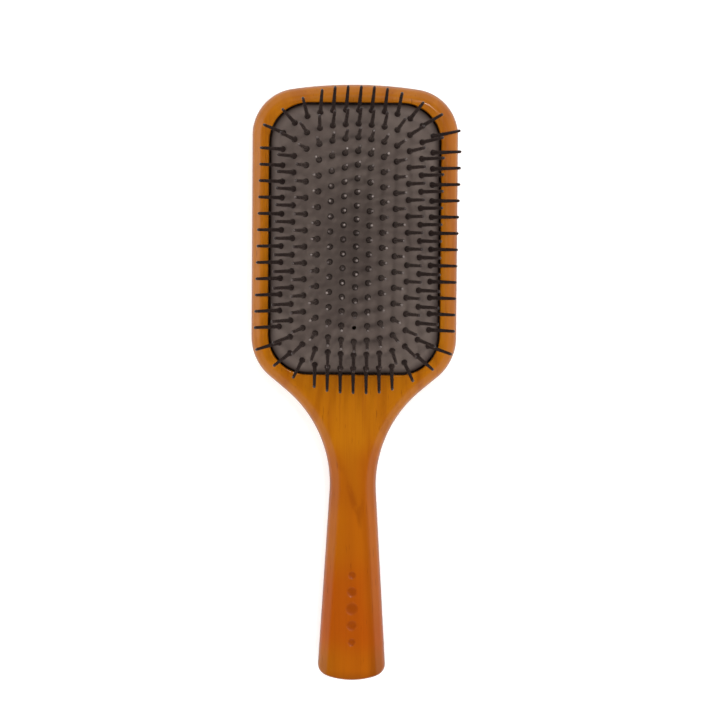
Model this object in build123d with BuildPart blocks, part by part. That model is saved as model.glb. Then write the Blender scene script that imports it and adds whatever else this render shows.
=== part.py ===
"""Paddle hair brush with a wooden body, a rubber air cushion and nylon pins.

Millimetres. The brush lies on its flat back: x runs across it, y runs from the
handle's end to the head's top, z runs up to the pins' tips, and z = 0 is the
surface it lies on. x = y = 0 is the middle of the brush seen from above.
"""

import math
import os

from build123d import *

os.makedirs("parts", exist_ok=True)

# ---- the wooden body's outline
length = 254.0
head_half_width = 43.7
crown_radius = 185.0
top_corner_radius = 19.8
shoulder_y = 9.4
shoulder_angle = 52.9
shoulder_radius = 21.9
neck_radius = 52.4
waist_half_width = 9.8
waist_y = -43.5
handle_taper = 0.060
end_radius = 31.9
end_corner_radius = 4.6

# ---- the wooden body's thickness and edges
thickness = 13.5
bevel_width = 4.4
bevel_depth = 3.4
back_edge_round = 4.5
end_edge_round = 0.8

# ---- the ornament pressed into the handle: a row of shallow bowl-shaped dimples
dimple_y = -96.3
dimple_spacing = 7.2
dimple_radii = (1.7, 2.3, 2.9, 2.3, 1.7)
dimple_depth = 0.45

# ---- the pocket routed into the head, with an undercut groove round its wall
pad_y = 61.5
pocket_half_width = 36.5
pocket_half_length = 57.7
pocket_corner_radius = 17.0
pocket_floor_z = 5.5
pocket_lip_round = 0.5
groove_z = 7.4
groove_height = 1.8
groove_depth = 1.6

# ---- the air cushion: a bead in the groove, a short wall and a domed sheet
cushion_gap = 0.8
cushion_half_width = pocket_half_width - cushion_gap
cushion_half_length = pocket_half_length - cushion_gap
cushion_corner_radius = pocket_corner_radius - cushion_gap
wall_thickness = 1.0
sheet_thickness = 1.5
sheet_thickness_at_rim = 1.15
bead_clearance = 0.06
rim_z = 12.7
dome_rise = 8.2
dome_power_across = 3.2
dome_power_along = 6.0
dome_levels = (1.0, 0.86, 0.70, 0.54, 0.39, 0.26, 0.16, 0.09, 0.045, 0.02, 0.006)
vent_radius = 0.9

# ---- the pins: a headed neck through the sheet, a flared collar and a shaft
column_x = (0.0, 5.45, 10.9, 16.3, 21.6, 26.8, 31.5)
middle_column_pins = 20
column_half_length = 54.4
column_shortening = 0.186
pattern_turn = 0.87
pattern_shift_x = 0.6
pattern_shift_y = -0.25
pin_lean_across = 1.16
pin_lean_along = 0.86
pin_lean_right = 0.028
pin_lean_right_per_mm = 0.0005
pin_length = 19.0
shaft_radius = 0.85
shaft_tip_radius = 0.62
collar_radius = 1.35
collar_height = 2.6
collar_lift = 0.3
pin_neck_radius = 0.75
neck_clearance = 0.15
head_radius = 1.5
head_thickness = 0.7
head_drop = 0.4
end_rows = 4
vent_row_from_handle = 3


def rounded_rectangle_inside(x, y, half_width, half_length, radius):
    """Is the point (x, y) inside a rounded rectangle centred on the origin?"""
    over_x = max(abs(x) - (half_width - radius), 0.0)
    over_y = max(abs(y) - (half_length - radius), 0.0)
    return math.hypot(over_x, over_y) <= radius


def level_size(level):
    """The half width, half length and corner radius of the dome's outline at a level."""
    half_width = cushion_half_width * level ** (1 / dome_power_across)
    half_length = cushion_half_length * level ** (1 / dome_power_along)
    radius = half_width * cushion_corner_radius / cushion_half_width
    return half_width, half_length, radius


def level_at(x, y):
    """The dome's level over a point: 0 on its crown, 1 round its rim."""
    low, high = 0.0, 4.0
    for _ in range(40):
        middle = (low + high) / 2
        if rounded_rectangle_inside(x, y, *level_size(middle)):
            high = middle
        else:
            low = middle
    return high


def dome_z(x, y):
    """The height of the cushion's outer face, with x and y measured from its middle."""
    return rim_z + dome_rise * (1 - level_at(x, y))


def pin_place(x, y):
    """Where a pin stands on the dome: its root on the outer face, its z along the pin."""
    step = 0.05
    slope_x = (dome_z(x + step, y) - dome_z(x - step, y)) / (2 * step)
    slope_y = (dome_z(x, y + step) - dome_z(x, y - step)) / (2 * step)
    lean_x = -slope_x * pin_lean_across + pin_lean_right + pin_lean_right_per_mm * y
    lean = Vector(lean_x, -slope_y * pin_lean_along, 1)
    root = Vector(x, y + pad_y, dome_z(x, y))
    return Plane(origin=root, x_dir=(1, 0, 0), z_dir=lean.normalized()).location


def column_rows(column):
    """The y of each pin position of a column, from the handle's side to the head's top."""
    count = middle_column_pins - abs(column)
    half = column_half_length * (1 - column_shortening * (abs(column) / 6) ** 3)
    return [half * (2 * row / (count - 1) - 1) for row in range(count)]


def in_pattern(x, y):
    """A position after the pattern's small clockwise turn and its shift."""
    turn = math.radians(pattern_turn)
    turned_x = x * math.cos(turn) + y * math.sin(turn)
    turned_y = y * math.cos(turn) - x * math.sin(turn)
    return turned_x + pattern_shift_x, turned_y + pattern_shift_y


# ======== wooden body ========
top_y = length / 2
end_y = -length / 2
crown_sag = crown_radius - math.sqrt(crown_radius**2 - head_half_width**2)
shoulder_dx = math.sin(math.radians(shoulder_angle))
shoulder_dy = -math.cos(math.radians(shoulder_angle))


def handle_half_width(y):
    return waist_half_width + handle_taper * (waist_y - y)


shoulder_run = (head_half_width - handle_half_width(shoulder_y)) / (
    shoulder_dx + handle_taper * shoulder_dy
)
neck_y = shoulder_y + shoulder_dy * shoulder_run


def body_outline(bottom_y, bottom_sag):
    """The outline of the body as a sketch that ends at bottom_y, bulging by bottom_sag."""
    corner_y = bottom_y + bottom_sag
    corner_x = handle_half_width(corner_y)
    with BuildSketch() as outline:
        with BuildLine():
            ThreePointArc(
                (-head_half_width, top_y - crown_sag),
                (0, top_y),
                (head_half_width, top_y - crown_sag),
            )
            Polyline(
                (head_half_width, top_y - crown_sag),
                (head_half_width, shoulder_y),
                (handle_half_width(neck_y), neck_y),
                (corner_x, corner_y),
            )
            ThreePointArc((corner_x, corner_y), (0, bottom_y), (-corner_x, corner_y))
            Polyline(
                (-corner_x, corner_y),
                (-handle_half_width(neck_y), neck_y),
                (-head_half_width, shoulder_y),
                (-head_half_width, top_y - crown_sag),
            )
        make_face()
        for level, radius in (
            (top_y - crown_sag, top_corner_radius),
            (shoulder_y, shoulder_radius),
            (neck_y, neck_radius),
            (corner_y, end_corner_radius),
        ):
            fillet([v for v in outline.vertices() if abs(v.Y - level) < 0.01], radius)
    return outline.sketch


end_half_width = handle_half_width(end_y)
end_sag = end_radius - math.sqrt(end_radius**2 - end_half_width**2)

with BuildPart() as wooden_body:
    add(extrude(body_outline(end_y, end_sag), thickness))
    with BuildPart(mode=Mode.INTERSECT):
        add(extrude(body_outline(end_y - 20, 1.0), thickness))
        top_face = faces().sort_by(Axis.Z)[-1]
        chamfer(top_face.outer_wire().edges(), bevel_width, bevel_depth, reference=top_face)
    fillet(edges().group_by(Axis.Z)[0], back_edge_round)
    front_edges = [e for e in edges() if e.center().Z > thickness - bevel_depth + 0.1]
    fillet([e for e in front_edges if e.center().Y < end_y + 5], end_edge_round)
    with BuildSketch(Plane.XY.offset(pocket_floor_z)):
        with Locations((0, pad_y)):
            RectangleRounded(2 * pocket_half_width, 2 * pocket_half_length, pocket_corner_radius)
    extrude(amount=thickness, mode=Mode.SUBTRACT)
    lip = faces().filter_by(Plane.XY).sort_by(Axis.Z)[-1].inner_wires()[0]
    fillet(lip.edges(), pocket_lip_round)
    with BuildSketch(Plane.XY.offset(groove_z)):
        with Locations((0, pad_y)):
            RectangleRounded(
                2 * (pocket_half_width + groove_depth),
                2 * (pocket_half_length + groove_depth),
                pocket_corner_radius + groove_depth,
            )
    extrude(amount=groove_height, mode=Mode.SUBTRACT)
    for number, radius in enumerate(dimple_radii):
        ball_radius = (radius**2 + dimple_depth**2) / (2 * dimple_depth)
        ball_z = thickness - dimple_depth + ball_radius
        with Locations((0, dimple_y + dimple_spacing * (number - 2), ball_z)):
            Sphere(ball_radius, mode=Mode.SUBTRACT)
wooden_body.part.label = "wooden_body"
export_step(wooden_body.part, "parts/wooden_body.step")

# ======== air cushion ========
bead_bottom_z = groove_z + bead_clearance
bead_top_z = groove_z + groove_height - bead_clearance
bead_reach = groove_depth - bead_clearance

pin_positions = []
for column in range(-6, 7):
    column_offset = math.copysign(column_x[abs(column)], column)
    for row, row_offset in enumerate(column_rows(column)):
        x, y = in_pattern(column_offset, row_offset)
        is_vent = column == 0 and row == vent_row_from_handle
        pin_positions.append((column, row, x, y, is_vent))

with BuildPart() as air_cushion:
    for level in dome_levels:
        half_width, half_length, radius = level_size(level)
        with BuildSketch(Plane.XY.offset(rim_z + dome_rise * (1 - level))):
            with Locations((0, pad_y)):
                RectangleRounded(2 * half_width, 2 * half_length, radius)
    loft()
    with BuildSketch(Plane.XY.offset(bead_bottom_z)):
        with Locations((0, pad_y)):
            RectangleRounded(
                2 * cushion_half_width, 2 * cushion_half_length, cushion_corner_radius
            )
    extrude(amount=rim_z - bead_bottom_z)
    with BuildSketch(Plane.XY.offset(bead_bottom_z)):
        with Locations((0, pad_y)):
            RectangleRounded(
                2 * (pocket_half_width + bead_reach),
                2 * (pocket_half_length + bead_reach),
                pocket_corner_radius + bead_reach,
            )
    extrude(amount=bead_top_z - bead_bottom_z)
    with BuildPart(mode=Mode.SUBTRACT):
        for level in dome_levels:
            half_width, half_length, radius = level_size(level)
            inset = wall_thickness * level
            drop = sheet_thickness + (sheet_thickness_at_rim - sheet_thickness) * level
            with BuildSketch(Plane.XY.offset(rim_z + dome_rise * (1 - level) - drop)):
                with Locations((0, pad_y)):
                    RectangleRounded(
                        2 * (half_width - inset), 2 * (half_length - inset), radius - inset
                    )
        loft()
        with BuildSketch(Plane.XY.offset(bead_bottom_z - 1)):
            with Locations((0, pad_y)):
                RectangleRounded(
                    2 * (cushion_half_width - wall_thickness),
                    2 * (cushion_half_length - wall_thickness),
                    cushion_corner_radius - wall_thickness,
                )
        extrude(amount=rim_z - sheet_thickness_at_rim - bead_bottom_z + 1)
    for radius, wanted in ((pin_neck_radius + neck_clearance, False), (vent_radius, True)):
        places = [pin_place(x, y) for _, _, x, y, is_vent in pin_positions if is_vent == wanted]
        with Locations(*places):
            Cylinder(radius, 6 * sheet_thickness, mode=Mode.SUBTRACT)
air_cushion.part.label = "air_cushion"
export_step(air_cushion.part, "parts/air_cushion.step")

# ======== one pin, standing on its root with z along it ========
head_top = -sheet_thickness - head_drop
with BuildPart() as pin:
    with BuildSketch(Plane.XZ):
        with BuildLine():
            Polyline(
                (0, head_top - head_thickness),
                (head_radius, head_top - head_thickness),
                (head_radius, head_top),
                (pin_neck_radius, head_top),
                (pin_neck_radius, collar_lift),
                (collar_radius, collar_lift),
                (collar_radius, collar_lift + 0.4),
                (shaft_radius, collar_lift + collar_height),
                (shaft_tip_radius, pin_length - shaft_tip_radius),
            )
            RadiusArc(
                (shaft_tip_radius, pin_length - shaft_tip_radius),
                (0, pin_length),
                -shaft_tip_radius,
            )
            Line((0, pin_length), (0, head_top - head_thickness))
        make_face()
    revolve(axis=Axis.Z)

# ======== the pins, each column in three zones ========
zones = ("handle_end", "middle", "top_end")
column_names = [f"left_{n}" for n in range(6, 0, -1)]
column_names += ["centre"] + [f"right_{n}" for n in range(1, 7)]
for column in range(-6, 7):
    count = middle_column_pins - abs(column)
    for zone in zones:
        places = []
        for its_column, row, x, y, is_vent in pin_positions:
            if its_column != column or is_vent:
                continue
            its_zone = "middle"
            if row < end_rows:
                its_zone = "handle_end"
            if row >= count - end_rows:
                its_zone = "top_end"
            if its_zone == zone:
                places.append(pin_place(x, y))
        name = f"pins_{column_names[column + 6]}_{zone}"
        with BuildPart() as pins:
            with Locations(*places):
                add(pin.part)
        pins.part.label = name
        export_step(pins.part, f"parts/{name}.step")
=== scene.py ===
"""The paddle hair brush's looks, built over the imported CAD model. Metres, in the row frame."""

import math

import bpy
import numpy as np
from mathutils import Matrix, Vector
from mathutils.geometry import delaunay_2d_cdt

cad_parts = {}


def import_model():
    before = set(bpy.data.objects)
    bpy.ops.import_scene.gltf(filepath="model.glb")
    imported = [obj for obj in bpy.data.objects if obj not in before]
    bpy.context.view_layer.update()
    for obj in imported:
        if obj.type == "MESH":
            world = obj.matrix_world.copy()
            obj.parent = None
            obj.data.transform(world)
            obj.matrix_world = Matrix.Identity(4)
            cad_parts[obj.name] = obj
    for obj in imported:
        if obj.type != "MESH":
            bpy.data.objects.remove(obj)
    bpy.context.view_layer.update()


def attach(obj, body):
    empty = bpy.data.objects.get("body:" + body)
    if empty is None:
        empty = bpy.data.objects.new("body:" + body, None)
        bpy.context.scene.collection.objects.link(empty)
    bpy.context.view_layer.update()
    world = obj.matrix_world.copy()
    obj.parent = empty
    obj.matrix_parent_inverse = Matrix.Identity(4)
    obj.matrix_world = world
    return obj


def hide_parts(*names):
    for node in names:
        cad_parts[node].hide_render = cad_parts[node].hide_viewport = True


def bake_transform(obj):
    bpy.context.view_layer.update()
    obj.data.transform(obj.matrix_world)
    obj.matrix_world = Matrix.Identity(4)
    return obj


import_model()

# ---- sizes in millimetres, as in the CAD model
TOP_Y = 127.0
END_Y = -127.0
HEAD_HALF_WIDTH = 43.7
CROWN_RADIUS = 185.0
TOP_CORNER_RADIUS = 19.8
SHOULDER_Y = 9.4
SHOULDER_ANGLE = math.radians(52.9)
SHOULDER_RADIUS = 21.9
NECK_RADIUS = 52.4
WAIST_HALF_WIDTH = 9.8
WAIST_Y = -43.5
HANDLE_TAPER = 0.060
END_RADIUS = 31.9
END_CORNER_RADIUS = 4.6
THICKNESS = 13.5
BEVEL_WIDTH = 4.4
BEVEL_DEPTH = 3.4
BACK_ROUND = 4.5
EDGE_ROUND = 1.5
END_ROUND = 0.9
DIMPLE_Y = -96.3
DIMPLE_SPACING = 7.2
DIMPLE_RADII = (1.7, 2.3, 2.9, 2.3, 1.7)
# each dimple's bowl, as shares of the radius and depths
DIMPLE_BOWL = ((0.93, 0.02), (0.86, 0.08), (0.76, 0.17), (0.62, 0.27), (0.44, 0.36), (0.22, 0.43))
DIMPLE_RIM = 0.22
DIMPLE_SEGMENTS = 32
PAD_Y = 61.5
POCKET = (36.5, 57.7, 17.0)
POCKET_FLOOR_Z = 5.5
LIP_ROUND = 0.5
GROOVE_Z = (7.4, 9.2)
GROOVE_DEPTH = 1.6
CUSHION = (35.7, 56.9, 16.2)
RIM_Z = 12.7
DOME_RISE = 8.2
POWER_ACROSS = 3.2
POWER_ALONG = 6.0
SHEET = 1.5
RIM_SHEET = 1.1
WALL = 1.0
COLUMN_X = (0.0, 5.45, 10.9, 16.3, 21.6, 26.8, 31.5)
MIDDLE_PINS = 20
COLUMN_HALF = 54.4
COLUMN_SHORTENING = 0.186
PATTERN_TURN = math.radians(0.87)
PATTERN_SHIFT = (0.6, -0.25)
LEAN_ACROSS = 1.16
LEAN_ALONG = 0.86
LEAN_RIGHT = 0.028
LEAN_RIGHT_PER_MM = 0.0005
PIN_LENGTH = 19.0
HOLE_RADIUS = 0.9
END_ROWS = 4
VENT_ROW = 3


def smooth(t):
    t = min(max(t, 0.0), 1.0)
    return t * t * (3 - 2 * t)


# ======== meshes from points in millimetres ========
class Sheet:
    """Vertices and faces that are gathered in millimetres and turned into an object at the end."""

    def __init__(self):
        self.points = []
        self.faces = []

    def ring(self, points):
        """Adds points and gives their numbers."""
        first = len(self.points)
        self.points += [tuple(p) for p in points]
        return list(range(first, len(self.points)))

    def strip(self, a, b, closed=True):
        """Quads between two rings of the same length."""
        n = len(a)
        for i in range(n if closed else n - 1):
            j = (i + 1) % n
            self.faces.append((a[i], a[j], b[j], b[i]))

    def cap(self, ring):
        self.faces.append(tuple(ring))

    def lathe(self, profile, place, segments):
        """Turns (radius, height) pairs about the z of a place. Ends of radius 0 are closed to a point."""
        rings = []
        for r, z in profile:
            if r < 1e-6:
                rings.append(self.ring([place @ Vector((0, 0, z))]))
                continue
            angles = [2 * math.pi * k / segments for k in range(segments)]
            rings.append(self.ring([place @ Vector((r * math.cos(a), r * math.sin(a), z)) for a in angles]))
        for low, high in zip(rings, rings[1:]):
            if len(low) == 1:
                self.faces += [(low[0], high[(k + 1) % segments], high[k]) for k in range(segments)]
            elif len(high) == 1:
                self.faces += [(low[k], low[(k + 1) % segments], high[0]) for k in range(segments)]
            else:
                self.strip(low, high)

    def make(self, name, material, sharp_angle=None):
        mesh = bpy.data.meshes.new(name)
        mesh.from_pydata([[c * 0.001 for c in p] for p in self.points], [], self.faces)
        mesh.validate()
        mesh.shade_smooth()
        if sharp_angle is not None:
            mesh.set_sharp_from_angle(angle=math.radians(sharp_angle))
        mesh.materials.append(material)
        made = bpy.data.objects.new(name, mesh)
        bpy.context.scene.collection.objects.link(made)
        return made


# ======== outlines ========
def arc(centre, radius, start, end, step):
    """Points and outward directions along an arc, from angle start to angle end."""
    count = max(2, math.ceil(abs(end - start) * radius / step))
    found = []
    for k in range(count + 1):
        a = start + (end - start) * k / count
        d = (math.cos(a), math.sin(a))
        found.append((centre[0] + radius * d[0], centre[1] + radius * d[1], d[0], d[1]))
    return found


def corner(before, at, after, radius, step):
    """The arc that rounds a corner, with directions to the left of the corner's path turned outward."""
    b, c, a = (np.array(p, float) for p in (before, at, after))
    u, w = (b - c) / np.linalg.norm(b - c), (a - c) / np.linalg.norm(a - c)
    half = math.acos(float(np.clip(u @ w, -1, 1))) / 2
    centre = c + (u + w) / np.linalg.norm(u + w) * radius / math.sin(half)
    first, last = (c + v * radius / math.tan(half) - centre for v in (u, w))
    start = math.atan2(first[1], first[0])
    turn = (math.atan2(last[1], last[0]) - start + math.pi) % (2 * math.pi) - math.pi
    found = arc(centre, radius, start, start + turn, step)
    if turn > 0:
        found = [(x, y, -dx, -dy) for x, y, dx, dy in found]
    return found


def handle_half_width(y):
    return WAIST_HALF_WIDTH + HANDLE_TAPER * (WAIST_Y - y)


def body_outline(end_y, end_radius, end_corner, step=1.5):
    """Points and outward directions round the body, clockwise from the middle of the crown."""
    crown_y = TOP_Y - CROWN_RADIUS
    corner_x = HEAD_HALF_WIDTH - TOP_CORNER_RADIUS
    corner_y = crown_y + math.sqrt((CROWN_RADIUS - TOP_CORNER_RADIUS) ** 2 - corner_x**2)
    meet = math.atan2(corner_y - crown_y, corner_x)
    dx, dy = math.sin(SHOULDER_ANGLE), -math.cos(SHOULDER_ANGLE)
    run = (HEAD_HALF_WIDTH - handle_half_width(SHOULDER_Y)) / (dx + HANDLE_TAPER * dy)
    neck_y = SHOULDER_Y + dy * run
    side = (HEAD_HALF_WIDTH, corner_y)
    shoulder = (HEAD_HALF_WIDTH, SHOULDER_Y)
    neck = (handle_half_width(neck_y), neck_y)
    end = (handle_half_width(end_y), end_y)
    half = arc((0, crown_y), CROWN_RADIUS, math.pi / 2, meet, step)
    half += arc((corner_x, corner_y), TOP_CORNER_RADIUS, meet, 0, 1.0)
    half += corner(side, shoulder, neck, SHOULDER_RADIUS, step)
    half += corner(shoulder, neck, end, NECK_RADIUS, step)
    # the end's big arc, and the small arc between it and the handle's side
    slant = math.hypot(1, HANDLE_TAPER)
    out = np.array((1, HANDLE_TAPER)) / slant
    along = np.array((HANDLE_TAPER, -1)) / slant
    middle = np.array((0, end_y + end_radius))
    from_side = out * ((WAIST_HALF_WIDTH + HANDLE_TAPER * WAIST_Y) / slant - end_corner)
    q = from_side - middle
    b, c = along @ q, q @ q - (end_radius - end_corner) ** 2
    small = from_side + along * (-b + math.sqrt(b * b - c))
    turn = math.atan2(*(small - middle)[::-1])
    half += arc(small, end_corner, math.atan2(out[1], out[0]), turn, 0.6)
    half += arc(middle, end_radius, turn, -math.pi / 2, step)
    # straight runs are filled, and points that coincide are dropped
    filled = [half[0]]
    for p in half[1:]:
        q = filled[-1]
        gap = math.dist(p[:2], q[:2])
        if gap < 1e-4:
            continue
        count = max(1, math.ceil(gap / (2 * step)) if gap > 2.2 * step else 1)
        for k in range(1, count + 1):
            t = k / count
            filled.append(tuple(a + (b - a) * t for a, b in zip(q, p)))
    mirrored = [(-x, y, -dx, dy) for x, y, dx, dy in reversed(filled[1:-1])]
    return filled + mirrored


def rounded_rectangle(half_width, half_length, radius, per_corner=16, across=10, along=22):
    """Points anticlockwise round a rounded rectangle centred on the pad, from the right side's foot."""
    found = []
    straight = {0: along, 1: across, 2: along, 3: across}
    for quarter in range(4):
        sx, sy = ((1, 1), (-1, 1), (-1, -1), (1, -1))[quarter]
        cx, cy = sx * (half_width - radius), sy * (half_length - radius)
        arc_points = []
        for k in range(per_corner + 1):
            a = quarter * math.pi / 2 + math.pi / 2 * k / per_corner
            arc_points.append((cx + radius * math.cos(a), PAD_Y + cy + radius * math.sin(a)))
        if found:
            last, first = found[-1], arc_points[0]
            n = straight[quarter]
            for k in range(1, n):
                found.append(tuple(a + (b - a) * k / n for a, b in zip(last, first)))
        found += arc_points
    last, first = found[-1], found[0]
    for k in range(1, along):
        found.append(tuple(a + (b - a) * k / along for a, b in zip(last, first)))
    return found


def grown(sizes, by):
    """A rounded rectangle's half width, half length and corner radius after an offset outward."""
    return [size + by for size in sizes]


def inside_rounded(x, y, half_width, half_length, radius):
    over_x = max(abs(x) - (half_width - radius), 0.0)
    over_y = max(abs(y - PAD_Y) - (half_length - radius), 0.0)
    return math.hypot(over_x, over_y) <= radius


# ======== the dome and where the pins stand on it ========
def level_at(x, y):
    """0 on the dome's crown, 1 round its rim. y from the pad's middle."""
    low, high = 0.0, 4.0
    for _ in range(34):
        level = (low + high) / 2
        half_width = CUSHION[0] * level ** (1 / POWER_ACROSS)
        half_length = CUSHION[1] * level ** (1 / POWER_ALONG)
        radius = half_width * CUSHION[2] / CUSHION[0]
        if inside_rounded(x, y + PAD_Y, half_width, half_length, radius):
            high = level
        else:
            low = level
    return high


def dome_z(x, y):
    return RIM_Z + DOME_RISE * (1 - level_at(x, y))


def slopes(x, y, step=0.05):
    return (
        (dome_z(x + step, y) - dome_z(x - step, y)) / (2 * step),
        (dome_z(x, y + step) - dome_z(x, y - step)) / (2 * step),
    )


def pin_place(x, y):
    """A matrix with its origin on the dome and z along the pin that stands there."""
    sx, sy = slopes(x, y)
    lean_x = -sx * LEAN_ACROSS + LEAN_RIGHT + LEAN_RIGHT_PER_MM * y
    z = Vector((lean_x, -sy * LEAN_ALONG, 1)).normalized()
    x_axis = (Vector((1, 0, 0)) - z * z.x).normalized()
    y_axis = z.cross(x_axis)
    turn = Matrix((x_axis, y_axis, z)).transposed().to_4x4()
    return Matrix.Translation((x, y + PAD_Y, dome_z(x, y))) @ turn


def pin_positions():
    """(column, zone, x, y, is the vent) for each place in the pins' pattern."""
    found = []
    for column in range(-6, 7):
        count = MIDDLE_PINS - abs(column)
        half = COLUMN_HALF * (1 - COLUMN_SHORTENING * (abs(column) / 6) ** 3)
        for row in range(count):
            y = half * (2 * row / (count - 1) - 1)
            zone = "handle_end" if row < END_ROWS else "top_end" if row >= count - END_ROWS else "middle"
            x = math.copysign(COLUMN_X[abs(column)], column)
            turned_x = x * math.cos(PATTERN_TURN) + y * math.sin(PATTERN_TURN) + PATTERN_SHIFT[0]
            turned_y = y * math.cos(PATTERN_TURN) - x * math.sin(PATTERN_TURN) + PATTERN_SHIFT[1]
            is_vent = column == 0 and row == VENT_ROW
            found.append((column, zone, turned_x, turned_y, is_vent))
    return found


POSITIONS = pin_positions()
NAMES = [f"left_{n}" for n in range(6, 0, -1)] + ["centre"] + [f"right_{n}" for n in range(1, 7)]


# ======== materials ========
def srgb(r, g, b):
    """A colour given as 0 to 255 display values, in the linear values that shaders take."""
    linear = []
    for c in (r, g, b):
        c /= 255
        linear.append(c / 12.92 if c <= 0.04045 else ((c + 0.055) / 1.055) ** 2.4)
    return (*linear, 1.0)


WOOD_LIGHT = srgb(178, 104, 2)
WOOD_RED = srgb(170, 76, 0)
WOOD_DARK = srgb(142, 66, 0)
WOOD_FLECK = srgb(105, 46, 2)
# hot-stamped colour, with painted shade of the dimples' hollows
WOOD_STAMPED_AND_SHADE = srgb(132, 54, 0)
WOOD_STREAK = srgb(136, 62, 0)
# painted shade for the bevels
WOOD_BEVEL_SHADE = srgb(138, 70, 4)
# painted shade for the rounded edge and the handle's end, also used to darken the corners of the handle's
# end
WOOD_EDGE = srgb(96, 50, 8)
RUBBER_LIGHT = srgb(110, 97, 90)
RUBBER_DARK = srgb(99, 86, 80)
RUBBER_DUST = srgb(122, 110, 103)
RUBBER_RIM = srgb(62, 52, 48)
NYLON_DARK = srgb(44, 34, 32)
NYLON_LIGHT = srgb(54, 43, 40)
# painted highlight on the pins' tips
NYLON_TIP_HIGHLIGHT = srgb(146, 134, 128)


class Nodes:
    """A new material and short ways to fill it."""

    def __init__(self, name):
        self.material = bpy.data.materials.new(name)
        self.material.use_nodes = True
        self.tree = self.material.node_tree
        self.shader = self.tree.nodes["Principled BSDF"]
        coordinates = self.tree.nodes.new("ShaderNodeTexCoord")
        self.place = coordinates.outputs["Object"]

    def link(self, a, b):
        self.tree.links.new(a, b)

    def feed(self, given, socket):
        """Links a socket to another one, or sets its value."""
        if isinstance(given, bpy.types.NodeSocket):
            self.link(given, socket)
        else:
            socket.default_value = given

    def scaled(self, scale):
        node = self.tree.nodes.new("ShaderNodeMapping")
        node.inputs["Scale"].default_value = scale
        self.link(self.place, node.inputs["Vector"])
        return node.outputs["Vector"]

    def noise(self, vector, detail=4.0, roughness=0.55, distortion=0.0):
        node = self.tree.nodes.new("ShaderNodeTexNoise")
        node.inputs["Scale"].default_value = 1.0
        node.inputs["Detail"].default_value = detail
        node.inputs["Roughness"].default_value = roughness
        node.inputs["Distortion"].default_value = distortion
        self.link(vector, node.inputs["Vector"])
        return node.outputs["Fac"]

    def spread(self, value, from_low, from_high, to_low=0.0, to_high=1.0):
        """Goes smoothly from to_low to to_high while the value goes from from_low to from_high."""
        node = self.tree.nodes.new("ShaderNodeMapRange")
        node.interpolation_type = "SMOOTHSTEP"
        for name, number in (
            ("From Min", from_low),
            ("From Max", from_high),
            ("To Min", to_low),
            ("To Max", to_high),
        ):
            node.inputs[name].default_value = number
        self.link(value, node.inputs["Value"])
        return node.outputs["Result"]

    def mix(self, factor, a, b):
        node = self.tree.nodes.new("ShaderNodeMix")
        node.data_type = "RGBA"
        self.feed(factor, node.inputs[0])
        self.feed(a, node.inputs[6])
        self.feed(b, node.inputs[7])
        return node.outputs[2]

    def math(self, operation, a, b):
        node = self.tree.nodes.new("ShaderNodeMath")
        node.operation = operation
        self.feed(a, node.inputs[0])
        self.feed(b, node.inputs[1])
        return node.outputs[0]

    def sum(self, first, *others):
        for other in others:
            first = self.math("ADD", first, other)
        return first

    def times(self, first, *others):
        for other in others:
            first = self.math("MULTIPLY", first, other)
        return first

    def size_of(self, value):
        return self.math("ABSOLUTE", value, 0.0)

    def vector(self, x, y, z):
        node = self.tree.nodes.new("ShaderNodeCombineXYZ")
        for given, socket in zip((x, y, z), node.inputs):
            self.feed(given, socket)
        return node.outputs[0]

    def bump(self, height, strength, distance):
        node = self.tree.nodes.new("ShaderNodeBump")
        node.inputs["Strength"].default_value = strength
        node.inputs["Distance"].default_value = distance
        self.link(height, node.inputs["Height"])
        self.link(node.outputs["Normal"], self.shader.inputs["Normal"])

    def attribute(self, name):
        node = self.tree.nodes.new("ShaderNodeAttribute")
        node.attribute_name = name
        return node.outputs["Fac"]

    def axis(self, name):
        node = self.tree.nodes.new("ShaderNodeSeparateXYZ")
        self.link(self.place, node.inputs[0])
        return node.outputs[name]


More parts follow.
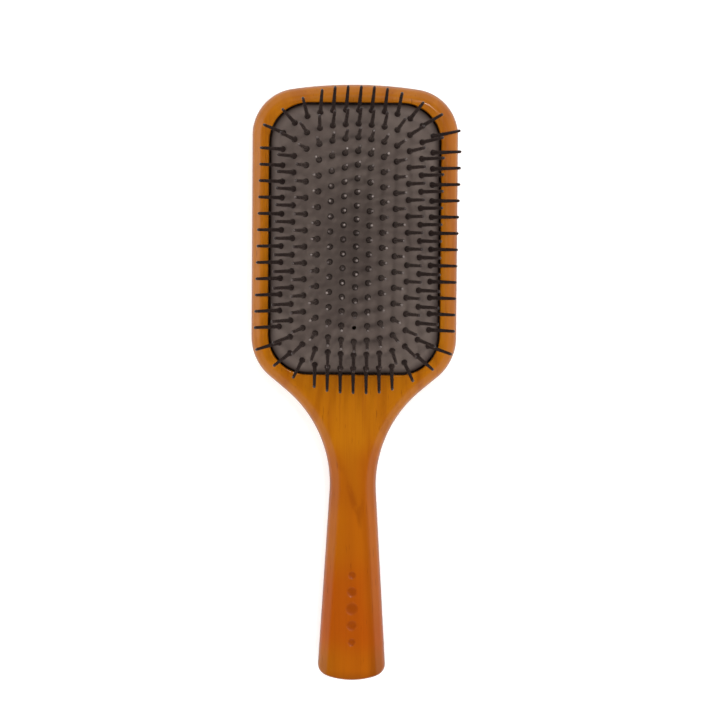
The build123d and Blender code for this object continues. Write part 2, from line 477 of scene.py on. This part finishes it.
def lacquered_wood():
    n = Nodes("lacquered_wood")
    x, y, z = n.axis("X"), n.axis("Y"), n.axis("Z")
    # growth rings of a trunk whose axis leans away from the board, so that they draw arches
    wander = n.noise(n.scaled((24, 7, 24)), detail=2, roughness=0.5)
    shake = n.noise(n.scaled((160, 16, 160)), detail=3, roughness=0.55)
    side = n.sum(x, n.times(wander, 0.026), n.times(shake, 0.0016), -0.0105)
    depth = n.sum(n.times(y, 0.085), n.times(z, 0.8), n.times(wander, -0.016), 0.0125)
    squares = n.sum(n.math("POWER", side, 2.0), n.math("POWER", depth, 2.0))
    ring = n.math("SQRT", squares, 0.0)
    line = n.noise(n.vector(n.times(ring, 170), n.times(y, 3.0), 0.0), detail=2, roughness=0.5)
    # one arch of the figure comes to its point in the neck: how far inside it a place is
    sway = n.noise(n.scaled((90, 40, 90)), detail=3, roughness=0.6)
    ripple = n.noise(n.scaled((330, 130, 330)), detail=3, roughness=0.6)
    from_middle = n.sum(x, n.times(y, 0.146), n.times(sway, 0.0050), n.times(ripple, 0.0018), 0.0015)
    arch = n.sum(n.times(y, 0.2315), n.times(n.size_of(from_middle), -1.0), 0.0132)
    arch_line = n.times(n.spread(arch, -0.0026, 0.0002), n.spread(arch, 0.0022, 0.0))
    arch_fades = n.times(n.spread(y, -0.026, -0.046), n.spread(ripple, 0.35, 0.62, 0.25, 1.0))
    arch_fades = n.times(arch_fades, n.spread(from_middle, 0.0005, 0.003, 1.0, 0.45))
    fibres = n.noise(n.scaled((1300, 26, 1300)), detail=4, roughness=0.65, distortion=0.3)
    cloudy = n.noise(n.scaled((38, 15, 38)), detail=2, roughness=0.5)
    flecks = n.noise(n.scaled((1500, 120, 1500)), detail=1, roughness=0.5)
    # yellower towards the head, redder down the handle
    redder = n.sum(n.spread(y, -0.012, -0.036, 0.0, 0.50), n.spread(y, -0.070, -0.092, 0.0, 0.40))
    redder = n.sum(redder, n.spread(y, -0.106, -0.120, 0.0, -0.35), n.times(cloudy, 0.9), -0.45)
    redder = n.sum(redder, n.times(n.spread(arch, -0.002, 0.005), -0.22))
    colour = n.mix(n.spread(redder, 0.05, 0.95), WOOD_LIGHT, WOOD_RED)
    dark_line = n.times(n.spread(line, 0.40, 0.72, 0.0, 0.52), n.spread(y, -0.044, -0.058, 1.0, 0.5))
    colour = n.mix(dark_line, colour, WOOD_DARK)
    colour = n.mix(n.spread(fibres, 0.45, 0.80, 0.0, 0.35), colour, WOOD_DARK)
    colour = n.mix(n.spread(cloudy, 0.50, 0.75, 0.0, 0.35), colour, WOOD_LIGHT)
    colour = n.mix(n.times(arch_line, arch_fades, 0.60), colour, WOOD_STREAK)
    colour = n.mix(n.spread(flecks, 0.68, 0.78, 0.0, 0.5), colour, WOOD_FLECK)
    # the stain is deeper in the neck; the handle's right crease gets painted shade; the corners of its end
    # are darker
    in_neck = n.times(n.spread(y, -0.022, -0.034), n.spread(y, -0.058, -0.046))
    colour = n.mix(n.times(in_neck, 0.26), colour, WOOD_DARK)
    # painted shade along the handle's right crease
    crease_at_y_0 = (WAIST_HALF_WIDTH + HANDLE_TAPER * WAIST_Y - BEVEL_WIDTH) / 1000
    past_crease = n.sum(x, n.times(y, HANDLE_TAPER), -crease_at_y_0)
    painted_crease_shade = n.times(n.spread(past_crease, -0.0036, -0.0008), n.spread(past_crease, 0.0010, 0.0002))
    painted_crease_shade = n.times(painted_crease_shade, n.spread(y, -0.047, -0.057))
    colour = n.mix(n.times(painted_crease_shade, 0.42), colour, WOOD_DARK)
    in_corner = n.times(n.spread(n.size_of(x), 0.005, 0.012), n.spread(y, -0.108, -0.122))
    colour = n.mix(n.times(in_corner, 0.32), colour, WOOD_EDGE)
    # painted shade: the handle's and the crown's bevels are a little darker, and the edge's rounding and
    # the handle's end are darkest
    not_beside_pad = n.sum(n.spread(y, 0.020, -0.002), n.spread(y, 0.112, 0.122))
    painted_bevel_shade = n.times(n.spread(z, 0.0134, 0.0128), n.spread(z, 0.0078, 0.0090), not_beside_pad)
    colour = n.mix(n.times(painted_bevel_shade, 0.08), colour, WOOD_BEVEL_SHADE)
    colour = n.mix(n.spread(y, -0.1222, -0.127, 0.0, 0.35), colour, WOOD_EDGE)
    painted_edge_shade = n.times(n.spread(z, 0.0105, 0.0097), n.spread(z, 0.0081, 0.0092))
    colour = n.mix(n.times(painted_edge_shade, 0.50), colour, WOOD_EDGE)
    # the pressed dimples are darker, partly as hot-stamped wood is and partly painted shade in their
    # hollows
    near_middle = n.spread(n.size_of(x), 0.0042, 0.0036)
    on_handle = n.times(n.spread(y, -0.068, -0.072), n.spread(y, -0.120, -0.117))
    below = n.spread(z, 0.01349, 0.01318)
    stamped_and_shade = n.times(near_middle, on_handle, below)
    colour = n.mix(n.times(stamped_and_shade, 0.60), colour, WOOD_STAMPED_AND_SHADE)
    n.link(colour, n.shader.inputs["Base Color"])
    n.link(n.spread(fibres, 0.3, 0.7, 0.30, 0.38), n.shader.inputs["Roughness"])
    n.shader.inputs["Specular IOR Level"].default_value = 0.24
    n.link(n.spread(stamped_and_shade, 0.0, 1.0, 0.32, 0.0), n.shader.inputs["Coat Weight"])
    n.shader.inputs["Coat Roughness"].default_value = 0.15
    height = n.sum(n.times(line, 0.4), n.times(fibres, 0.4), n.times(flecks, -0.2))
    n.bump(height, 0.08, 0.0002)
    return n.material


def cushion_rubber():
    n = Nodes("cushion_rubber")
    cloudy = n.noise(n.scaled((60, 60, 60)), detail=3)
    grain = n.noise(n.scaled((2600, 2600, 2600)), detail=3)
    colour = n.mix(n.spread(cloudy, 0.3, 0.7), RUBBER_LIGHT, RUBBER_DARK)
    colour = n.mix(n.spread(grain, 0.45, 0.75, 0.0, 0.25), colour, RUBBER_DUST)
    # the rim turns down into the gap, out of reach of the light
    colour = n.mix(n.spread(n.axis("Z"), 0.0148, 0.0126), colour, RUBBER_RIM)
    n.link(colour, n.shader.inputs["Base Color"])
    n.link(n.spread(grain, 0.3, 0.7, 0.62, 0.78), n.shader.inputs["Roughness"])
    n.shader.inputs["Specular IOR Level"].default_value = 0.3
    n.bump(grain, 0.25, 0.0001)
    return n.material


def pin_nylon():
    n = Nodes("pin_nylon")
    cloudy = n.noise(n.scaled((220, 220, 220)), detail=3)
    grain = n.noise(n.scaled((3600, 3600, 3600)), detail=2)
    colour = n.mix(n.spread(cloudy, 0.3, 0.7), NYLON_DARK, NYLON_LIGHT)
    # painted highlight: the tips are paler, most of all in the middle of the pad, where they point up into
    # the light
    across = n.size_of(n.axis("X"))
    along = n.size_of(n.sum(n.axis("Y"), -PAD_Y / 1000))
    middle = n.times(n.spread(across, 0.030, 0.016), n.spread(along, 0.054, 0.036))
    tip = n.spread(n.attribute("along_pin"), PIN_LENGTH - 0.45, PIN_LENGTH - 0.08)
    painted_tip_highlight = n.times(tip, middle, n.spread(cloudy, 0.35, 0.65, 0.15, 0.85))
    colour = n.mix(painted_tip_highlight, colour, NYLON_TIP_HIGHLIGHT)
    n.link(colour, n.shader.inputs["Base Color"])
    n.link(n.spread(grain, 0.3, 0.7, 0.18, 0.28), n.shader.inputs["Roughness"])
    n.shader.inputs["Specular IOR Level"].default_value = 0.5
    n.bump(grain, 0.12, 0.00005)
    return n.material


WOOD = lacquered_wood()
RUBBER = cushion_rubber()
NYLON = pin_nylon()


# ======== the wooden body ========
def distances(points, ring):
    """How far each 2-D point is from a closed ring of points."""
    p = np.array(points, float)[:, None, :2]
    a = np.array(ring, float)[:, :2]
    ab = np.roll(a, -1, axis=0) - a
    t = np.clip(((p - a) * ab).sum(2) / (ab**2).sum(1), 0, 1)
    return np.sqrt(((p - a - t[..., None] * ab) ** 2).sum(2).min(1))


def inside(points, ring):
    """Which 2-D points lie inside a closed ring of points."""
    p = np.array(points, float)[:, :2]
    a = np.array(ring, float)[:, :2]
    b = np.roll(a, -1, axis=0)
    within = np.zeros(len(p), bool)
    for (ax, ay), (bx, by) in zip(a, b):
        if ay == by:
            continue
        crosses = (p[:, 1] < ay) != (p[:, 1] < by)
        within ^= crosses & (p[:, 0] < ax + (p[:, 1] - ay) * (bx - ax) / (by - ay))
    return within


# where the front face's mesh gets extra lines: shares of the edge's rounding, and distances in from it
ROUNDING_SHARES = (0.07, 0.22, 0.45, 0.72, 1.0)
BEVEL_LINES = (2.2, 2.8, 3.4, 3.8, 4.1, 4.3, 4.4, 4.5, 4.7, 5.0, 5.5, 6.1)
LIP_ANGLES = (0.4, 0.8, 1.2, math.pi / 2)
BACK_STEPS = 8


def wooden_body():
    outline = body_outline(END_Y, END_RADIUS, END_CORNER_RADIUS)
    long_outline = body_outline(END_Y - 20, 60.0, 2.0)

    def edge_round(y):
        return END_ROUND + (EDGE_ROUND - END_ROUND) * smooth((y - END_Y - 3) / 6)

    def front_z(points):
        points = np.array(points, float)[:, :2]
        heights = []
        from_side, from_edge = distances(points, long_outline), distances(points, outline)
        for (x, y), side, edge in zip(points, from_side, from_edge):
            softness = 0.55 + 0.55 * smooth((y + 42) / 40)
            fall = BEVEL_DEPTH * (1 - side / BEVEL_WIDTH)
            if fall < softness:
                fall = 0.0 if fall < -softness else (fall + softness) ** 2 / (4 * softness)
            r = edge_round(y)
            rounded = r - math.sqrt(max(r * r - max(r - edge, 0) ** 2, 0))
            heights.append(THICKNESS - fall - rounded)
        return heights

    # the front: the outline, its rounding, lines along the bevel, and the rims of the openings
    front = [(x, y) for x, y, _, _ in outline]
    ring_size = len(front)
    for share in ROUNDING_SHARES:
        for x, y, nx, ny in outline:
            inset = edge_round(y) * share
            front.append((x - nx * inset, y - ny * inset))
    lines = []
    for inset in BEVEL_LINES:
        lines += [(x - nx * inset, y - ny * inset) for x, y, nx, ny in long_outline if y > END_Y - 3]
    for p, near, within in zip(lines, distances(lines, outline), inside(lines, outline)):
        if within and near > 1.9 and not inside_rounded(*p, *grown(POCKET, 0.9)):
            front.append(p)
    pocket = rounded_rectangle(*grown(POCKET, LIP_ROUND))
    pocket_start = len(front)
    front += pocket
    dimple_starts = []
    for number, radius in enumerate(DIMPLE_RADII):
        centre = DIMPLE_Y + DIMPLE_SPACING * (number - 2)
        radius += DIMPLE_RIM
        dimple_starts.append((len(front), centre, radius))
        angles = [2 * math.pi * k / DIMPLE_SEGMENTS for k in range(DIMPLE_SEGMENTS)]
        front += [(radius * math.cos(a), centre + radius * math.sin(a)) for a in angles]

    _, _, faces, origins, _, _ = delaunay_2d_cdt([Vector(p) for p in front], [], [], 0, 1e-7)
    faces = [tuple(origins[v][0] for v in f) for f in faces]
    middles = np.array([[sum(front[v][k] for v in f) / len(f) for k in (0, 1)] for f in faces])
    wanted = inside(middles, outline)
    for k, (x, y) in enumerate(middles):
        if inside_rounded(x, y, *grown(POCKET, LIP_ROUND)):
            wanted[k] = False
        for _, centre, radius in dimple_starts:
            if math.hypot(x, y - centre) < radius * 0.999:
                wanted[k] = False

    s = Sheet()
    s.ring([(x, y, z) for (x, y), z in zip(front, front_z(front))])
    s.faces += [f for f, w in zip(faces, wanted) if w]
    # the side wall and the rounded back
    above = list(range(ring_size))
    for z in (8.2, 6.4, BACK_ROUND):
        below = s.ring([(x, y, z) for x, y, _, _ in outline])
        s.strip(above, below)
        above = below
    for k in range(1, BACK_STEPS + 1):
        a = math.pi / 2 * k / BACK_STEPS
        inset, z = BACK_ROUND * (1 - math.cos(a)), BACK_ROUND * (1 - math.sin(a))
        below = s.ring([(x - nx * inset, y - ny * inset, z) for x, y, nx, ny in outline])
        s.strip(above, below)
        above = below
    s.cap(above)
    # the pocket's lip, wall, groove and floor
    above = list(range(pocket_start, pocket_start + len(pocket)))
    path = [(LIP_ROUND * (1 - math.sin(a)), THICKNESS - LIP_ROUND * (1 - math.cos(a))) for a in LIP_ANGLES]
    path += [(0, GROOVE_Z[1]), (GROOVE_DEPTH, GROOVE_Z[1])]
    path += [(GROOVE_DEPTH, GROOVE_Z[0]), (0, GROOVE_Z[0]), (0, POCKET_FLOOR_Z)]
    for out_by, z in path:
        below = s.ring([(x, y, z) for x, y in rounded_rectangle(*grown(POCKET, out_by))])
        s.strip(below, above)
        above = below
    s.cap(above)
    # the ornament's dimples
    for start, centre, _ in dimple_starts:
        rim = front[start : start + DIMPLE_SEGMENTS]
        above = list(range(start, start + DIMPLE_SEGMENTS))
        for share, depth in DIMPLE_BOWL:
            below = s.ring([(x * share, centre + (y - centre) * share, THICKNESS - depth) for x, y in rim])
            s.strip(below, above)
            above = below
        s.cap(above)
    return s.make("wooden_body_finished", WOOD, sharp_angle=50)


body = wooden_body()
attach(body, "brush_body")
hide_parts("wooden_body")


# ======== the air cushion ========
# the raised ring round each hole: radius, height, and whether its points stand between the others
BOSS = ((HOLE_RADIUS, 0.10, False), (1.18, 0.16, True), (1.55, 0.10, False), (2.0, 0.0, True))
HOLE_SEGMENTS = 14
EDGE_INSET = 0.45
GRID_STEP = 1.7
BEAD_GAP = 0.06


def air_cushion():
    s = Sheet()
    rim = rounded_rectangle(*grown(CUSHION, -EDGE_INSET))
    # (x, y, height over the dome, the hole's axis on a hole's edge)
    points = [(x, y, 0.0, None) for x, y in rim]
    ring_size = len(points)
    holes = []
    for _, _, x, y, _ in POSITIONS:
        place = pin_place(x, y)
        ex, ey, axis = (Vector(place.col[k][:3]) for k in range(3))
        holes.append((len(points), x, y + PAD_Y))
        for radius, height, between in BOSS:
            for k in range(HOLE_SEGMENTS):
                a = 2 * math.pi * (k + 0.5 * between) / HOLE_SEGMENTS
                px = x + radius * (math.cos(a) * ex.x + math.sin(a) * ey.x)
                py = y + PAD_Y + radius * (math.cos(a) * ex.y + math.sin(a) * ey.y)
                if radius == HOLE_RADIUS:
                    points.append((px, py, height, axis))
                elif inside_rounded(px, py, *grown(CUSHION, -0.85)):
                    points.append((px, py, height, None))

    def clear_of_holes(x, y, gap):
        return all((x - hx) ** 2 + (y - hy) ** 2 > gap**2 for _, hx, hy in holes)

    for inset in (0.8, 1.25):
        ring = rounded_rectangle(*grown(CUSHION, -inset))
        points += [(x, y, 0.0, None) for x, y in ring if clear_of_holes(x, y, 1.7)]
    for row in range(-36, 37):
        for k in range(-22, 23):
            x, y = (k + 0.5 * (row % 2)) * GRID_STEP, PAD_Y + row * GRID_STEP * 0.95
            if inside_rounded(x, y, *grown(CUSHION, -2.0)) and clear_of_holes(x, y, 2.6):
                points.append((x, y, 0.0, None))
    flat = [p[:2] for p in points]
    _, _, faces, origins, _, _ = delaunay_2d_cdt([Vector(p) for p in flat], [], [], 0, 1e-7)
    faces = [tuple(origins[v][0] for v in f) for f in faces]
    # faces that span a hole, or lie outside the rim, are left out
    hole_of = {start + k: start for start, _, _ in holes for k in range(HOLE_SEGMENTS)}
    kept = []
    for f in faces:
        owners = {hole_of.get(v) for v in f}
        if len(owners) == 1 and None not in owners:
            continue
        middle = [sum(flat[v][k] for v in f) / 3 for k in (0, 1)]
        if inside_rounded(*middle, *grown(CUSHION, 0.01 - EDGE_INSET)):
            kept.append(f)
    # heights of the outer face, and the inner face one sheet's thickness under it
    upper, lower = [], []
    for x, y, height, axis in points:
        sx, sy = slopes(x, y - PAD_Y)
        normal = Vector((-sx, -sy, 1)).normalized()
        level = min(level_at(x, y - PAD_Y), 1.0)
        thick = SHEET + (RIM_SHEET - SHEET) * level**2
        surface = Vector((x, y, dome_z(x, y - PAD_Y)))
        upper.append(tuple(surface + normal * height))
        lower.append(tuple(surface - (axis or normal) * thick))
    top = s.ring(upper)
    under = s.ring(lower)
    s.faces += kept
    s.faces += [tuple(under[v] for v in reversed(f)) for f in kept]
    for start, _, _ in holes:
        s.strip(under[start : start + HOLE_SEGMENTS], top[start : start + HOLE_SEGMENTS])
    # the rounded rim, the wall, and the bead that sits in the groove
    bead_low, bead_high = GROOVE_Z[0] + BEAD_GAP, GROOVE_Z[1] - BEAD_GAP
    reach = POCKET[0] + GROOVE_DEPTH - BEAD_GAP - CUSHION[0]
    path = [(-0.32, RIM_Z + 0.05), (-0.18, RIM_Z - 0.17), (-0.06, RIM_Z - 0.50), (0, RIM_Z - 0.95)]
    path += [(0, 11.1), (0, 10.5), (0, bead_high + 0.4), (0.12, bead_high + 0.12), (0.4, bead_high)]
    path += [(reach - 0.25, bead_high), (reach, bead_high - 0.25), (reach, bead_low + 0.25)]
    path += [(reach - 0.25, bead_low), (-WALL + 0.2, bead_low), (-WALL, bead_low + 0.2)]
    path += [(-WALL, 9.4), (-WALL, 10.6)]
    above = top[:ring_size]
    for out_by, z in path:
        below = s.ring([(x, y, z) for x, y in rounded_rectangle(*grown(CUSHION, out_by))])
        s.strip(below, above)
        above = below
    s.strip(under[:ring_size], above)
    return s.make("air_cushion_finished", RUBBER, sharp_angle=60)


cushion = air_cushion()
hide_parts("air_cushion")
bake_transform(cushion)

# ======== the pins ========
# (radius, height over the rubber): the inner head, the neck, the collar, the shaft and the round tip
PIN_PROFILE = (
    (0.0, -2.60),
    (1.25, -2.60),
    (1.45, -2.50),
    (1.50, -2.30),
    (1.45, -2.02),
    (1.25, -1.92),
    (0.75, -1.90),
    (0.75, -0.80),
    (0.75, 0.30),
    (1.22, 0.30),
    (1.32, 0.36),
    (1.35, 0.52),
    (1.33, 0.72),
    (1.22, 1.02),
    (1.08, 1.42),
    (0.98, 1.90),
    (0.91, 2.45),
    (0.87, 3.20),
    (0.84, 4.50),
    (0.78, 8.00),
    (0.71, 13.0),
    (0.64, 17.6),
    (0.62, 18.35),
    (0.57, 18.62),
    (0.46, 18.83),
    (0.28, 18.96),
    (0.12, 18.995),
    (0.0, PIN_LENGTH),
)

PIN_SEGMENTS = 18
PIN_HEIGHTS = [z for r, z in PIN_PROFILE for _ in range(PIN_SEGMENTS if r > 0 else 1)]

for column in range(-6, 7):
    for zone in ("handle_end", "middle", "top_end"):
        node = f"pins_{NAMES[column + 6]}_{zone}"
        group = Sheet()
        for its_column, its_zone, x, y, is_vent in POSITIONS:
            if (its_column, its_zone) == (column, zone) and not is_vent:
                group.lathe(PIN_PROFILE, pin_place(x, y), PIN_SEGMENTS)
        pins = group.make(node + "_finished", NYLON, sharp_angle=50)
        along = pins.data.attributes.new("along_pin", "FLOAT", "POINT")
        along.data.foreach_set("value", PIN_HEIGHTS * (len(group.points) // len(PIN_HEIGHTS)))
        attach(pins, node)
        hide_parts(node)


# ======== floor, light and camera ========
def floor():
    mesh = bpy.data.meshes.new("floor")
    half = 3.0
    corners = [(-half, -half, 0), (half, -half, 0), (half, half, 0), (-half, half, 0)]
    mesh.from_pydata(corners, [], [(0, 1, 2, 3)])
    made = bpy.data.objects.new("floor", mesh)
    bpy.context.scene.collection.objects.link(made)
    made.location.z = -0.0002
    n = Nodes("pale_floor")
    n.shader.inputs["Base Color"].default_value = (0.93, 0.93, 0.93, 1)
    n.shader.inputs["Emission Color"].default_value = (1, 1, 1, 1)
    n.shader.inputs["Emission Strength"].default_value = 0.37
    n.shader.inputs["Roughness"].default_value = 0.9
    n.shader.inputs["Specular IOR Level"].default_value = 0.1
    mesh.materials.append(n.material)


def area_light(name, place, aim, size, power, mirrored=True):
    """A lamp that points at aim. One that isn't mirrored draws no bright lines on the lacquer."""
    lamp = bpy.data.lights.new(name, "AREA")
    lamp.shape = "RECTANGLE"
    lamp.size, lamp.size_y = size
    lamp.energy = power
    made = bpy.data.objects.new(name, lamp)
    bpy.context.scene.collection.objects.link(made)
    made.location = place
    made.rotation_euler = (Vector(aim) - Vector(place)).to_track_quat("-Z", "Y").to_euler()
    made.visible_glossy = mirrored


def world():
    made = bpy.data.worlds.new("studio")
    bpy.context.scene.world = made
    made.use_nodes = True
    tree = made.node_tree
    background = tree.nodes["Background"]
    place = tree.nodes.new("ShaderNodeTexCoord")
    split = tree.nodes.new("ShaderNodeSeparateXYZ")
    tree.links.new(place.outputs["Generated"], split.inputs[0])
    ramp = tree.nodes.new("ShaderNodeMapRange")
    ramp.interpolation_type = "SMOOTHSTEP"
    for name, number in (("From Min", 0.28), ("From Max", 0.55), ("To Min", 0.78), ("To Max", 0.08)):
        ramp.inputs[name].default_value = number
    tree.links.new(split.outputs["Z"], ramp.inputs["Value"])
    background.inputs["Color"].default_value = (1, 1, 1, 1)
    tree.links.new(ramp.outputs["Result"], background.inputs["Strength"])


floor()
world()
target = (0, 0.03, 0.01)
area_light("left_softbox", (-0.74, 0.0, 0.93), target, (0.4, 0.8), 4.5, mirrored=False)
area_light("right_softbox", (0.74, 0.14, 0.93), target, (0.4, 0.8), 5.8, mirrored=False)
area_light("top_softbox", (0, 0.82, 0.93), target, (0.8, 0.4), 3.1, mirrored=False)
area_light("near_softbox", (0, -0.74, 0.93), target, (0.8, 0.4), 4.3, mirrored=False)
area_light("left_panel", (-0.80, 0.20, 0.24), target, (0.5, 0.22), 0.45)
area_light("glint", (0.24, 0.54, 1.06), target, (0.12, 0.12), 1.6)

# how much of the brush's plane the picture spans
VIEW_WIDTH = 0.3070

camera_data = bpy.data.cameras.new("camera")
camera = bpy.data.objects.new("camera", camera_data)
bpy.context.scene.collection.objects.link(camera)
bpy.context.scene.camera = camera
# the camera hangs over the pad and looks down, with a small lean to one side
camera.location = (-0.0038, 0.064, 1.10)
aim = Vector((0.0027, 0.0100, 0.010))
back = (camera.location - aim).normalized()
lean = math.radians(0.43)
right = Vector((-math.sin(lean), math.cos(lean), 0)).cross(back).normalized()
camera.rotation_euler = Matrix((right, back.cross(right), back)).transposed().to_euler()
camera_data.sensor_width = 36.0
camera_data.lens = camera_data.sensor_width * (aim - camera.location).length / VIEW_WIDTH
camera_data.dof.use_dof = False
bpy.context.scene.view_settings.view_transform = "Standard"
